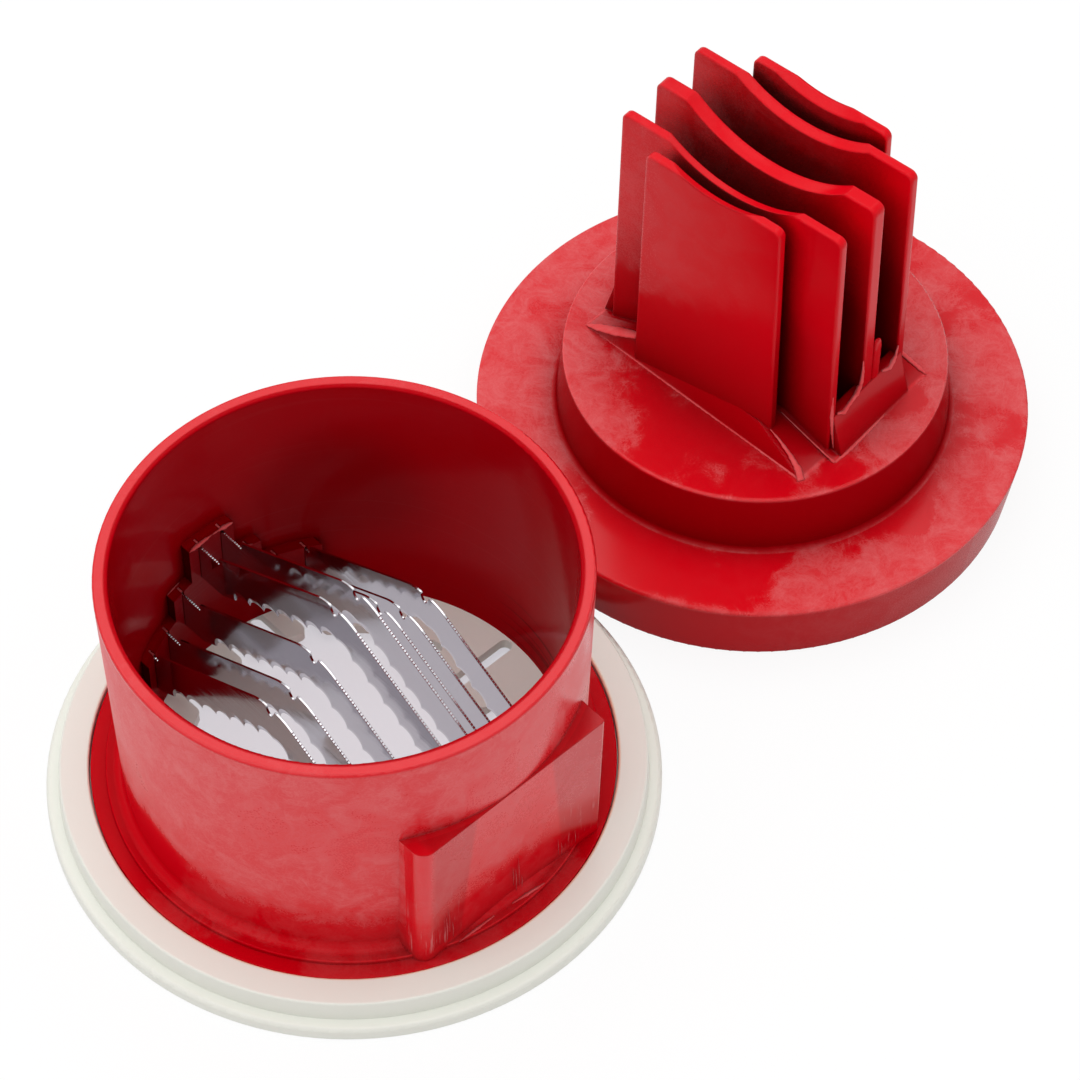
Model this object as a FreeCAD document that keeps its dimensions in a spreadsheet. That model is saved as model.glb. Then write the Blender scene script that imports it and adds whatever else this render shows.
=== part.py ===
import FreeCAD, Part
import Sketcher
import os

# Fruit slicer for a bench press: a cup with eight serrated slicing blades stands in a slotted base ring,
# and a finned plunger stands beside it, fins up. Millimetres, +Z up. The origin is on the cup's axis, on
# the surface that everything stands on, and the blades run along X with the cup's key pad on +X.

Vector = FreeCAD.Vector
PARTS_FOLDER = "parts"
FIT_TOLERANCE = 0.02

SIZES = [
    ("bore_radius", 45.0, "cup bore at the mouth, for fruit up to 90 mm across"),
    ("wall_thickness", 3.0, "cup wall at the mouth"),
    ("cup_height", 63.9, "cup from its seat to the rim"),
    ("outer_draft", 1.6, "how much the outer wall narrows from rim to foot"),
    ("bore_draft", 1.2, "how much the bore narrows from rim to foot"),
    ("flange_overhang", 5.0, "flange beyond the wall's rim radius"),
    ("flange_thickness", 2.3, "outer annulus of the flange"),
    ("hub_overhang", 1.9, "raised hub beyond the wall's rim radius"),
    ("hub_rise", 1.0, "raised hub above the flange"),
    ("foot_fillet", 2.0, "fillet between wall and hub"),
    ("rim_rounding", 0.5, "rounding of the cup's rim"),
    ("pad_half_width", 23.75, "key pad, half its width"),
    ("pad_height", 40.2, "key pad above the cup's seat"),
    ("pad_proud", 0.25, "key pad's face beyond the wall it touches"),
    ("pad_soft_corner", 3.0, "rounding of the key pad's -Y corner"),
    ("pad_crisp_corner", 0.8, "rounding of the key pad's +Y corner"),
    ("blade_pitch", 5.76, "distance from blade to blade"),
    ("blade_thickness", 0.5, "blade strip"),
    ("blade_depth", 10.0, "blade at its peak, from top edge to tooth tips"),
    ("arm_rise", 0.564, "rise of a blade arm per unit length"),
    ("peak_half_width", 2.5, "level stretch at a blade's peak, half"),
    ("edge_half_length", 35.4, "cutting edge, from the middle to the end tab"),
    ("tab_step", 1.4, "step from the cutting edge down to the tab"),
    ("tab_depth", 9.9, "height of the blade's end tab"),
    ("peak_below_rim", 10.1, "tallest blades' peak under the cup's rim"),
    ("middle_drop", 10.0, "next blades' peak under the tallest"),
    ("outer_drop", 6.5, "outer blades' peak under the middle ones"),
    ("tooth_pitch", 5.1, "distance between tooth tips along an arm"),
    ("tooth_depth", 1.4, "scallop between two tooth tips"),
    ("notch_width", 2.2, "hooked notch in the peak"),
    ("notch_depth", 2.3, "hooked notch in the peak"),
    ("land_depth", 3.1, "lands' face inside the bore's mouth radius"),
    ("seat_depth", 1.5, "blade ends inside the bore's mouth radius"),
    ("land_cover", 0.6, "lands above the blade tabs"),
    ("blade_clearance", 0.05, "gap round a blade in its slot"),
    ("flange_clearance", 0.3, "gap round the flange in the ring's recess"),
    ("floor_underside", 2.4, "underside of the ring's floor"),
    ("floor_thickness", 2.6, "ring's floor"),
    ("ring_height", 7.95, "top of the ring"),
    ("ring_top_width", 6.0, "flat top of the ring"),
    ("ring_draft", 0.35, "how much the ring's step widens downwards"),
    ("lip_width", 2.6, "lower lip beyond the ring's step"),
    ("lip_height", 3.1, "lower lip"),
    ("lip_rounding", 0.9, "rounding of the lower lip"),
    ("ring_rounding", 0.5, "rounding of the ring's top edges"),
    ("foot_width", 3.3, "ring's foot inside its step"),
    ("opening_radius", 34.0, "opening in the ring's floor"),
    ("tongue_reach", 27.6, "middle of the ring to a tongue's end"),
    ("tongue_half_width", 8.4, "tongue, half its width"),
    ("slot_width", 3.1, "slots in the ring's floor"),
    ("slot_reach", 43.3, "middle of the ring to a slot's outer end"),
    ("slot_pitch", 7.4, "distance between the slots at each end"),
    ("slot_shift", 1.6, "middle slot's distance from the centre line"),
    ("tongue_slot_shift", 0.4, "tongue slot's distance from the centre line"),
    ("finger_rounding", 1.4, "rounding of the finger tips"),
    ("disc_overhang", 10.7, "plunger disc beyond the cup's rim radius"),
    ("disc_thickness", 15.8, "plunger disc"),
    ("disc_draft", 2.1, "how much the disc narrows towards its back"),
    ("boss_gap", 4.5, "gap between the boss and the cup's bore"),
    ("boss_height", 14.7, "boss above the disc"),
    ("boss_draft", 1.3, "how much the boss widens towards the disc"),
    ("boss_fillet", 1.0, "fillet between boss and disc"),
    ("plunger_rounding", 0.5, "rounding of the disc's and the boss's edges"),
    ("fin_height", 63.3, "fins above the boss"),
    ("fin_thickness", 2.2, "fins on each side of the middle one"),
    ("middle_fin_thickness", 3.4, "middle fin"),
    ("fin_half_length", 27.5, "three long fins at the top"),
    ("short_fin_half_length", 16.8, "two short fins at the top"),
    ("fin_draft", 1.2, "how much a fin widens from top to foot"),
    ("fin_sink", 0.5, "how far a fin's outline starts inside the boss"),
    ("fin_corner", 1.8, "rounding of a fin's top corners"),
    ("fin_edge", 0.5, "rounding of a fin's upright edges"),
    ("dish_half_width", 20.0, "round dish in the fins' tops, half"),
    ("dish_depth", 7.2, "round dish in the fins' tops"),
    ("foot_height", 5.6, "sloped foot under the fins"),
    ("foot_half_length", 31.4, "sloped foot between the long fins, half along the fins"),
    ("foot_half_width", 13.6, "sloped foot between the long fins, half across the fins"),
    ("side_foot_half_length", 30.4, "sloped foot of the short fins, half of its length"),
    ("side_foot_half_width", 19.7, "sloped foot of the short fins, half of its width"),
    ("side_foot_turn", 4.0, "how far the short fins' foot is turned back from the fins, in degrees"),
    ("crest_half_length", 16.6, "top of the sloped feet, half along the fins"),
    ("crest_half_width", 17.6, "top of the short fins' foot, half across the fins"),
    ("web_height", 10.5, "webs across the ends of the long fins' gaps, above the boss"),
    ("web_half_length", 28.6, "webs' outer top edge, half along the fins"),
    ("web_thickness", 2.0, "webs at their top"),
    ("stand_gap", 1.55, "gap between the ring and the plunger's back edge"),
    ("stand_direction", 93.5, "from the cup's axis to the plunger's, in degrees"),
    ("fin_direction", 7.0, "how the fins are turned from X, in degrees"),
]

# Lengths that follow from the driving sizes

RIM_RADIUS = "(Size.bore_radius + Size.wall_thickness)"
FLANGE_RADIUS = f"({RIM_RADIUS} + Size.flange_overhang)"
HUB_RADIUS = f"({RIM_RADIUS} + Size.hub_overhang)"
FOOT_RADIUS = f"({RIM_RADIUS} - Size.outer_draft)"
FOOT_BORE = "(Size.bore_radius - Size.bore_draft)"
LAND_RADIUS = "(Size.bore_radius - Size.land_depth)"
SEAT_RADIUS = "(Size.bore_radius - Size.seat_depth)"
RECESS_RADIUS = f"({FLANGE_RADIUS} + Size.flange_clearance)"
STEP_RADIUS = f"({RECESS_RADIUS} + Size.ring_top_width)"
RING_RADIUS = f"({STEP_RADIUS} + Size.ring_draft + Size.lip_width)"
DISC_RADIUS = f"({RIM_RADIUS} + Size.disc_overhang)"
BACK_RADIUS = f"({DISC_RADIUS} - Size.disc_draft)"
BOSS_RADIUS = "(Size.bore_radius - Size.boss_gap)"
SEAT = "(Size.floor_underside + Size.floor_thickness)"
FLANGE_TOP = f"({SEAT} + Size.flange_thickness)"
HUB_TOP = f"({FLANGE_TOP} + Size.hub_rise)"
RIM = f"({SEAT} + Size.cup_height)"
BOSS_TOP = "(Size.disc_thickness + Size.boss_height)"
FIN_TOP = f"({BOSS_TOP} + Size.fin_height)"

# Blades: their places across the cup, and the height of each pair's peak

BLADES = 8
INNER_PEAK = f"({RIM} - Size.peak_below_rim)"
MIDDLE_PEAK = f"({INNER_PEAK} - Size.middle_drop)"
OUTER_PEAK = f"({MIDDLE_PEAK} - Size.outer_drop)"
PEAKS = [OUTER_PEAK, OUTER_PEAK, MIDDLE_PEAK, INNER_PEAK, INNER_PEAK, MIDDLE_PEAK, OUTER_PEAK, OUTER_PEAK]
ARM_FALL = "(Size.arm_rise * (Size.edge_half_length - Size.peak_half_width))"
TAB_FALL = f"({ARM_FALL} + Size.tab_step)"

# Fins: place across the plunger in blade pitches, thickness and half length at the top

OUTER_LONG_FIN = 2
FINS = [
    (-3, "Size.fin_thickness", "Size.short_fin_half_length"),
    (-OUTER_LONG_FIN, "Size.fin_thickness", "Size.fin_half_length"),
    (0, "Size.middle_fin_thickness", "Size.fin_half_length"),
    (OUTER_LONG_FIN, "Size.fin_thickness", "Size.fin_half_length"),
    (3, "Size.fin_thickness", "Size.short_fin_half_length"),
]


def fill_sheet(doc):
    """Writes the driving sizes, one row each, with the name of each value as its alias."""
    sheet = doc.addObject("Spreadsheet::Sheet", "Size")
    for row, (name, value, meaning) in enumerate(SIZES, start=1):
        sheet.set(f"A{row}", meaning)
        sheet.set(f"B{row}", str(value))
        sheet.setAlias(f"B{row}", name)
    doc.recompute()
    return sheet


def new_body(doc, name):
    body = doc.addObject("PartDesign::Body", name)
    body.Label = name
    return body


def origin_feature(body, role):
    return next(item for item in body.Origin.OriginFeatures if item.Role == role)


def new_sketch(body, name, role, offset=None):
    """Starts a sketch on one of the body's own origin planes, moved along its normal by an expression."""
    sketch = body.newObject("Sketcher::SketchObject", name)
    sketch.AttachmentSupport = [(origin_feature(body, role), "")]
    sketch.MapMode = "FlatFace"
    if offset:
        sketch.setExpression("AttachmentOffset.Base.z", offset)
    return sketch


def bind(sketch, constraint, expression):
    index = sketch.addConstraint(constraint)
    sketch.setExpression(f"Constraints[{index}]", expression)


def draw_outline(sketch, corners):
    """Closes straight lines through corners, each a pair of expressions from the sketch's origin."""
    count = len(corners)
    first = sketch.GeometryCount
    places = [Vector(i, i * i, 0) for i in range(count)]
    for i in range(count):
        sketch.addGeometry(Part.LineSegment(places[i], places[(i + 1) % count]), False)
    for i in range(count):
        after = first + (i + 1) % count
        sketch.addConstraint(Sketcher.Constraint("Coincident", first + i, 2, after, 1))
    for i, (across, along) in enumerate(corners):
        bind(sketch, Sketcher.Constraint("DistanceX", first + i, 1, 1.0), across)
        bind(sketch, Sketcher.Constraint("DistanceY", first + i, 1, 1.0), along)


def draw_rectangle(sketch, left, low, right, high):
    draw_outline(sketch, [(left, low), (right, low), (right, high), (left, high)])


def draw_circle(sketch, across, along, radius):
    index = sketch.addGeometry(Part.Circle(Vector(1, 1, 0), Vector(0, 0, 1), 1.0), False)
    bind(sketch, Sketcher.Constraint("DistanceX", index, 3, 1.0), across)
    bind(sketch, Sketcher.Constraint("DistanceY", index, 3, 1.0), along)
    bind(sketch, Sketcher.Constraint("Radius", index, 1.0), radius)


def revolve(body, name, sketch, kind="PartDesign::Revolution"):
    feature = body.newObject(kind, name)
    feature.Profile = sketch
    feature.ReferenceAxis = (sketch, ["V_Axis"])
    feature.Angle = 360
    return feature


def pad(body, name, sketch, length, both_ways=False):
    feature = body.newObject("PartDesign::Pad", name)
    feature.Profile = sketch
    feature.Midplane = both_ways
    feature.setExpression("Length", length)
    return feature


def cut_down(body, name, sketch, depth):
    feature = body.newObject("PartDesign::Pocket", name)
    feature.Profile = sketch
    feature.setExpression("Length", depth)
    return feature


def cut_through(body, name, sketch):
    feature = body.newObject("PartDesign::Pocket", name)
    feature.Profile = sketch
    feature.Type = "ThroughAll"
    feature.Midplane = True
    return feature


def round_edges(body, name, base, test, radius):
    """Fillets the edges of a feature that pass a test; there has to be at least one."""
    body.Document.recompute()
    names = [f"Edge{i}" for i, edge in enumerate(base.Shape.Edges, start=1) if test(edge)]
    if not names:
        raise RuntimeError(f"{name} finds no edge")
    feature = body.newObject("PartDesign::Fillet", name)
    feature.Base = (base, names)
    feature.setExpression("Radius", radius)
    body.Document.recompute()
    return feature


def turned_from(sketch, *corners):
    """Tests for the round edges that corners of a revolved outline leave."""
    points = [sketch.getPoint(corner, 1) for corner in corners]

    def test(edge):
        if not isinstance(edge.Curve, Part.Circle):
            return False
        radius, height = edge.Curve.Radius, edge.Curve.Center.z
        return any(abs(radius - p.x) + abs(height - p.y) < FIT_TOLERANCE for p in points)

    return test


def upright(edge):
    """Tells a straight edge that rises, also along a drafted face."""
    if not isinstance(edge.Curve, Part.Line) or len(edge.Vertexes) != 2:
        return False
    rise = edge.Vertexes[1].Point - edge.Vertexes[0].Point
    return abs(rise.z) > 0.95 * rise.Length


def build_base_ring(doc, sheet):
    body = new_body(doc, "base_ring")
    outline = new_sketch(body, "ring_outline", "XZ_Plane")
    foot_inner = f"({STEP_RADIUS} - Size.foot_width)"
    lip_inner = f"({STEP_RADIUS} + Size.ring_draft)"
    draw_outline(outline, [
        ("Size.opening_radius", "Size.floor_underside"),
        (foot_inner, "Size.floor_underside"),
        (foot_inner, "0"),
        (RING_RADIUS, "0"),
        (RING_RADIUS, "Size.lip_height"),
        (lip_inner, "Size.lip_height"),
        (STEP_RADIUS, "Size.ring_height"),
        (RECESS_RADIUS, "Size.ring_height"),
        (RECESS_RADIUS, SEAT),
        ("Size.opening_radius", SEAT),
    ])
    ring = revolve(body, "ring", outline)
    doc.recompute()
    ring = round_edges(body, "lip_round", ring, turned_from(outline, 4), "Size.lip_rounding")
    ring = round_edges(body, "top_round", ring, turned_from(outline, 6, 7), "Size.ring_rounding")

    tongues = new_sketch(body, "tongue_outline", "XY_Plane", "Size.floor_underside")
    rooted = "(Size.opening_radius + 1)"
    half = "Size.tongue_half_width"
    draw_rectangle(tongues, f"-{half}", "Size.tongue_reach", half, rooted)
    draw_rectangle(tongues, f"-{half}", f"-{rooted}", half, "-Size.tongue_reach")
    pad(body, "tongues", tongues, "Size.floor_thickness")

    slots = new_sketch(body, "slot_outline", "XY_Plane")
    ends = new_sketch(body, "slot_end_outline", "XY_Plane")
    radius = "(Size.slot_width / 2)"
    start = "(Size.opening_radius * 0.8)"
    for side in (1, -1):
        for step in (-2, -1, 0, 1, 2):
            middle = f"({-side} * (Size.slot_shift + {step} * Size.slot_pitch))"
            reach = f"({side} * (sqrt(Size.slot_reach ^ 2 - {middle} ^ 2) - {radius}))"
            draw_rectangle(slots, f"{side} * {start}", f"{middle} - {radius}", reach, f"{middle} + {radius}")
            draw_circle(ends, reach, middle, radius)
        middle = f"({-side} * Size.tongue_slot_shift)"
        reach = f"({side} * (Size.slot_reach - {radius}))"
        inner = f"{side} * (Size.tongue_reach - 1)"
        draw_rectangle(slots, f"{middle} - {radius}", inner, f"{middle} + {radius}", reach)
        draw_circle(ends, middle, reach, radius)
    cut_through(body, "slots", slots)
    floor = cut_through(body, "slot_ends", ends)

    tip_limit = sheet.get("opening_radius") + FIT_TOLERANCE

    def at_finger_tip(edge):
        if not upright(edge):
            return False
        place = edge.Vertexes[0].Point
        return Vector(place.x, place.y, 0).Length < tip_limit and abs(place.x) > sheet.get("tongue_half_width")

    round_edges(body, "finger_round", floor, at_finger_tip, "Size.finger_rounding")
    return body


def draw_band(sketch, sheet, half_width):
    """Draws a band across the cup whose ends are arcs inside the wall."""
    radius = sheet.get("bore_radius") + sheet.get("wall_thickness") / 6
    right = Part.ArcOfCircle(Part.Circle(Vector(), Vector(0, 0, 1), radius), -0.2, 0.2)
    left = Part.ArcOfCircle(Part.Circle(Vector(), Vector(0, 0, 1), radius), 2.94, 3.34)
    for arc in (right, left):
        sketch.addGeometry(arc, False)
    sketch.addGeometry(Part.LineSegment(right.EndPoint, left.StartPoint), False)
    sketch.addGeometry(Part.LineSegment(left.EndPoint, right.StartPoint), False)
    for arc in (0, 1):
        sketch.addConstraint(Sketcher.Constraint("Coincident", arc, 3, -1, 1))
        bind(sketch, Sketcher.Constraint("Radius", arc, radius), "Size.bore_radius + Size.wall_thickness / 6")
    for line, start, end in ((2, (0, 2), (1, 1)), (3, (1, 2), (0, 1))):
        sketch.addConstraint(Sketcher.Constraint("Coincident", line, 1, *start))
        sketch.addConstraint(Sketcher.Constraint("Coincident", line, 2, *end))
        sketch.addConstraint(Sketcher.Constraint("Horizontal", line))
    bind(sketch, Sketcher.Constraint("DistanceY", 0, 2, 1.0), half_width)
    bind(sketch, Sketcher.Constraint("DistanceY", 0, 1, -1.0), f"-{half_width}")


def blade_place(number):
    """Gives a blade's distance from the cup's axis, as an expression."""
    return f"({number - (BLADES - 1) / 2} * Size.blade_pitch)"


def build_blade_cup(doc, sheet):
    body = new_body(doc, "blade_cup")
    outline = new_sketch(body, "cup_outline", "XZ_Plane")
    draw_outline(outline, [
        ("0", SEAT),
        (FLANGE_RADIUS, SEAT),
        (FLANGE_RADIUS, FLANGE_TOP),
        (HUB_RADIUS, FLANGE_TOP),
        (HUB_RADIUS, HUB_TOP),
        (FOOT_RADIUS, HUB_TOP),
        (RIM_RADIUS, RIM),
        ("0", RIM),
    ])
    cup = revolve(body, "cup", outline)
    doc.recompute()
    cup = round_edges(body, "wall_foot", cup, turned_from(outline, 5), "Size.foot_fillet")
    cup = round_edges(body, "flange_round", cup, turned_from(outline, 2, 4), "Size.rim_rounding / 2")

    face = new_sketch(body, "pad_outline", "XZ_Plane")
    pad_rise = "(Size.pad_height - Size.flange_thickness - Size.hub_rise)"
    wall_rise = "(Size.cup_height - Size.flange_thickness - Size.hub_rise)"
    pad_low = f"({FOOT_RADIUS} + Size.pad_proud)"
    pad_high = f"({pad_low} + Size.outer_draft * {pad_rise} / {wall_rise})"
    inside = f"({FOOT_RADIUS} * 0.6)"
    draw_outline(face, [
        (inside, SEAT),
        (pad_low, SEAT),
        (pad_low, HUB_TOP),
        (pad_high, f"{SEAT} + Size.pad_height"),
        (inside, f"{SEAT} + Size.pad_height"),
    ])
    key = pad(body, "key_pad", face, "2 * Size.pad_half_width", both_ways=True)
    half = sheet.get("pad_half_width")
    wall = sheet.get("bore_radius") + sheet.get("wall_thickness") - sheet.get("outer_draft")

    def at_pad_corner(side):
        def test(edge):
            ends = [vertex.Point for vertex in edge.Vertexes]
            return upright(edge) and all(abs(p.y - side * half) < FIT_TOLERANCE and p.x > wall for p in ends)
        return test

    key = round_edges(body, "soft_corner", key, at_pad_corner(-1), "Size.pad_soft_corner")
    round_edges(body, "crisp_corner", key, at_pad_corner(1), "Size.pad_crisp_corner")

    hollow = new_sketch(body, "bore_outline", "XZ_Plane")
    draw_outline(hollow, [("0", SEAT), (FOOT_BORE, SEAT), ("Size.bore_radius", RIM), ("0", RIM)])
    bored = revolve(body, "bore", hollow, "PartDesign::Groove")
    doc.recompute()
    at_rim = turned_from(outline, 6)
    at_mouth = turned_from(hollow, 2)
    round_edges(body, "rim_round", bored, lambda edge: at_rim(edge) or at_mouth(edge), "Size.rim_rounding")

    for pairs, peak in ((1, INNER_PEAK), (2, MIDDLE_PEAK), (4, OUTER_PEAK)):
        band = new_sketch(body, f"land_outline_{pairs}", "XY_Plane", SEAT)
        draw_band(band, sheet, f"({pairs} * Size.blade_pitch)")
        pad(body, f"lands_{pairs}", band, f"{peak} - {TAB_FALL} + Size.land_cover - {SEAT}")
    core = new_sketch(body, "land_core_outline", "XY_Plane")
    draw_circle(core, "0", "0", LAND_RADIUS)
    cut_through(body, "land_core", core)

    for number in range(BLADES):
        place = blade_place(number)
        top = f"({PEAKS[number]} - {TAB_FALL} + Size.land_cover + 1)"
        slot = new_sketch(body, f"blade_slot_outline_{number + 1}", "XY_Plane", top)
        reach = f"(sqrt({SEAT_RADIUS} ^ 2 - {place} ^ 2) + Size.blade_clearance)"
        half_width = "(Size.blade_thickness / 2 + Size.blade_clearance)"
        draw_rectangle(slot, f"-{reach}", f"{place} - {half_width}", reach, f"{place} + {half_width}")
        depth = "Size.tab_depth + Size.land_cover + 1 + Size.blade_clearance"
        cut_down(body, f"blade_slot_{number + 1}", slot, depth)
    return body


def build_blade(doc, number):
    """Builds one serrated blade: two arms that fall from a notched peak to level end tabs."""
    name = f"blade_{number + 1}"
    body = new_body(doc, name)
    place = blade_place(number)
    body.setExpression("Placement.Base.y", place)
    peak = PEAKS[number]
    reach = f"sqrt({SEAT_RADIUS} ^ 2 - {place} ^ 2)"
    edge_end = "Size.edge_half_length"
    crown = "Size.peak_half_width"
    tip = f"({peak} - Size.blade_depth)"
    tab_top = f"({peak} - {TAB_FALL})"
    tab_low = f"({tab_top} - Size.tab_depth)"
    tab_start = f"(({tip} - {tab_low}) / Size.arm_rise)"
    notch = "Size.notch_width / 2"
    outline = new_sketch(body, f"{name}_outline", "XZ_Plane")
    draw_outline(outline, [
        ("0", tip),
        (tab_start, tab_low),
        (reach, tab_low),
        (reach, tab_top),
        (edge_end, tab_top),
        (edge_end, f"{peak} - {ARM_FALL}"),
        (crown, peak),
        (f"{notch} + 0.3", peak),
        (f"{notch} - 0.3", f"{peak} - Size.notch_depth"),
        (f"-{notch} + 0.6", f"{peak} - Size.notch_depth"),
        (f"-{notch}", peak),
        (f"-{crown}", peak),
        (f"-{edge_end}", f"{peak} - {ARM_FALL}"),
        (f"-{edge_end}", tab_top),
        (f"-{reach}", tab_top),
        (f"-{reach}", tab_low),
        (f"-{tab_start}", tab_low),
    ])
    pad(body, f"{name}_strip", outline, "Size.blade_thickness", both_ways=True)

    scallop = new_sketch(body, f"{name}_scallop", "XZ_Plane")
    scallop.setExpression("AttachmentOffset.Base.y", tip)
    scallop.AttachmentOffset.Rotation = FreeCAD.Rotation(Vector(0, 0, 1), -1)
    scallop.setExpression("AttachmentOffset.Rotation.Angle", "atan(Size.arm_rise)")
    scallop.setExpression("AttachmentOffset.Rotation.Axis.z", "-1")
    radius = "((Size.tooth_pitch ^ 2 / 4 + Size.tooth_depth ^ 2) / (2 * Size.tooth_depth))"
    draw_circle(scallop, "Size.tooth_pitch / 2", f"Size.tooth_depth - {radius}", radius)
    first = cut_through(body, f"{name}_first_scallop", scallop)
    arms = body.newObject("PartDesign::MultiTransform", f"{name}_scallops")
    row = body.newObject("PartDesign::LinearPattern", f"{name}_row")
    row.Direction = (scallop, ["H_Axis"])
    row.Mode = "Spacing"
    row.setExpression("Offset", "Size.tooth_pitch")
    row.Occurrences = 7
    mirror = body.newObject("PartDesign::Mirrored", f"{name}_other_arm")
    mirror.MirrorPlane = (origin_feature(body, "YZ_Plane"), [""])
    arms.Originals = [first]
    arms.Transformations = [row, mirror]
    body.Tip = arms
    return body


def build_plunger(doc, sheet):
    body = new_body(doc, "plunger")
    outline = new_sketch(body, "plunger_outline", "XZ_Plane")
    draw_outline(outline, [
        ("0", "0"),
        (BACK_RADIUS, "0"),
        (DISC_RADIUS, "Size.disc_thickness"),
        (f"{BOSS_RADIUS} + Size.boss_draft", "Size.disc_thickness"),
        (BOSS_RADIUS, BOSS_TOP),
        ("0", BOSS_TOP),
    ])
    turned = revolve(body, "disc_and_boss", outline)
    doc.recompute()
    turned = round_edges(body, "boss_foot", turned, turned_from(outline, 3), "Size.boss_fillet")
    round_edges(body, "disc_round", turned, turned_from(outline, 1, 2, 4), "Size.plunger_rounding")

    feet = (
        ("foot", "Size.foot_half_length", "Size.foot_half_width", "Size.foot_half_width", None),
        ("side_foot", "Size.side_foot_half_length", "Size.side_foot_half_width", "Size.crest_half_width",
         "Size.side_foot_turn"),
    )
    for name, half_length, half_width, crest_half_width, turn in feet:
        low = new_sketch(body, f"{name}_low_outline", "XY_Plane", BOSS_TOP)
        draw_rectangle(low, f"-{half_length}", f"-{half_width}", half_length, half_width)
        crest = new_sketch(body, f"{name}_crest_outline", "XY_Plane", f"{BOSS_TOP} + Size.foot_height")
        crest_half_length = "Size.crest_half_length"
        draw_rectangle(crest, f"-{crest_half_length}", f"-{crest_half_width}", crest_half_length, crest_half_width)
        for outline in (low, crest) if turn else ():
            outline.AttachmentOffset.Rotation = FreeCAD.Rotation(Vector(0, 0, 1), -1)
            outline.setExpression("AttachmentOffset.Rotation.Angle", f"{turn} * 1deg")
            outline.setExpression("AttachmentOffset.Rotation.Axis.z", "-1")
        foot = body.newObject("PartDesign::AdditiveLoft", name)
        foot.Profile = low
        foot.Sections = [crest]
        foot.Ruled = True

    web_side = new_sketch(body, "web_side", "XZ_Plane")
    web_inside = "(Size.web_half_length - Size.web_thickness)"
    for sign in ("", "-"):
        draw_outline(web_side, [
            (f"{sign}{web_inside}", f"{BOSS_TOP} - Size.fin_sink"),
            (f"{sign}Size.foot_half_length", f"{BOSS_TOP} - Size.fin_sink"),
            (f"{sign}Size.foot_half_length", BOSS_TOP),
            (f"{sign}Size.web_half_length", f"{BOSS_TOP} + Size.web_height"),
            (f"{sign}{web_inside}", f"{BOSS_TOP} + Size.web_height"),
        ])
    pad(body, "webs", web_side, f"2 * {OUTER_LONG_FIN} * Size.blade_pitch", both_ways=True)

    for number, (pitches, thickness, half_length) in enumerate(FINS, start=1):
        side = new_sketch(body, f"fin_outline_{number}", "XZ_Plane", f"{-pitches} * Size.blade_pitch")
        root = f"({half_length} + Size.fin_draft)"
        start = f"{BOSS_TOP} - Size.fin_sink"
        draw_outline(side, [
            (f"-{root}", start),
            (root, start),
            (half_length, FIN_TOP),
            (f"-{half_length}", FIN_TOP),
        ])
        fins = pad(body, f"fin_{number}", side, thickness, both_ways=True)
    doc.recompute()

    boss_top = sheet.get("disc_thickness") + sheet.get("boss_height")
    fin_top = boss_top + sheet.get("fin_height")

    def at_top_corner(edge):
        return (
            isinstance(edge.Curve, Part.Line)
            and all(abs(v.Z - fin_top) < FIT_TOLERANCE for v in edge.Vertexes)
            and abs(edge.Vertexes[0].X - edge.Vertexes[1].X) < FIT_TOLERANCE
        )

    def at_fin_edge(edge):
        return upright(edge) and edge.Length > sheet.get("fin_height") / 2

    fins = round_edges(body, "fin_corners", fins, at_top_corner, "Size.fin_corner")
    fins = round_edges(body, "fin_edges", fins, at_fin_edge, "Size.fin_edge")

    dish = body.newObject("PartDesign::SubtractiveSphere", "dish")
    dish.AttachmentSupport = [(origin_feature(body, "XY_Plane"), "")]
    dish.MapMode = "FlatFace"
    dish_radius = "(Size.dish_half_width ^ 2 + Size.dish_depth ^ 2) / (2 * Size.dish_depth)"
    dish.setExpression("Radius", dish_radius)
    dish.setExpression("AttachmentOffset.Base.z", f"{FIN_TOP} - Size.dish_depth + {dish_radius}")

    distance = f"({RING_RADIUS} + {BACK_RADIUS} + Size.stand_gap)"
    body.Placement.Rotation = FreeCAD.Rotation(Vector(0, 0, 1), sheet.get("fin_direction"))
    body.setExpression("Placement.Base.x", f"{distance} * cos(Size.stand_direction * 1deg)")
    body.setExpression("Placement.Base.y", f"{distance} * sin(Size.stand_direction * 1deg)")
    return body


def check(doc, bodies):
    """Stops if a feature failed, or a sub-part isn't one valid solid."""
    failed = [item.Name for item in doc.Objects if {"Invalid", "Error"} & set(item.State)]
    if failed:
        raise RuntimeError(f"these failed: {failed}")
    for body in bodies:
        shape = body.Shape
        if shape.isNull() or not shape.isValid() or len(shape.Solids) != 1:
            raise RuntimeError(f"{body.Label} is not one valid solid")


def export(bodies):
    os.makedirs(PARTS_FOLDER, exist_ok=True)
    for body in bodies:
        body.Shape.exportStep(os.path.join(PARTS_FOLDER, f"{body.Label}.step"))
        print(body.Label, round(body.Shape.Volume, 1))


def main():
    doc = FreeCAD.newDocument("fruit_slicer")
    sheet = fill_sheet(doc)
    bodies = [build_base_ring(doc, sheet), build_blade_cup(doc, sheet)]
    bodies += [build_blade(doc, number) for number in range(BLADES)]
    bodies.append(build_plunger(doc, sheet))
    doc.recompute()
    check(doc, bodies)
    export(bodies)


main()
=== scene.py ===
import math

import bpy
from mathutils import Matrix, Vector


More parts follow.
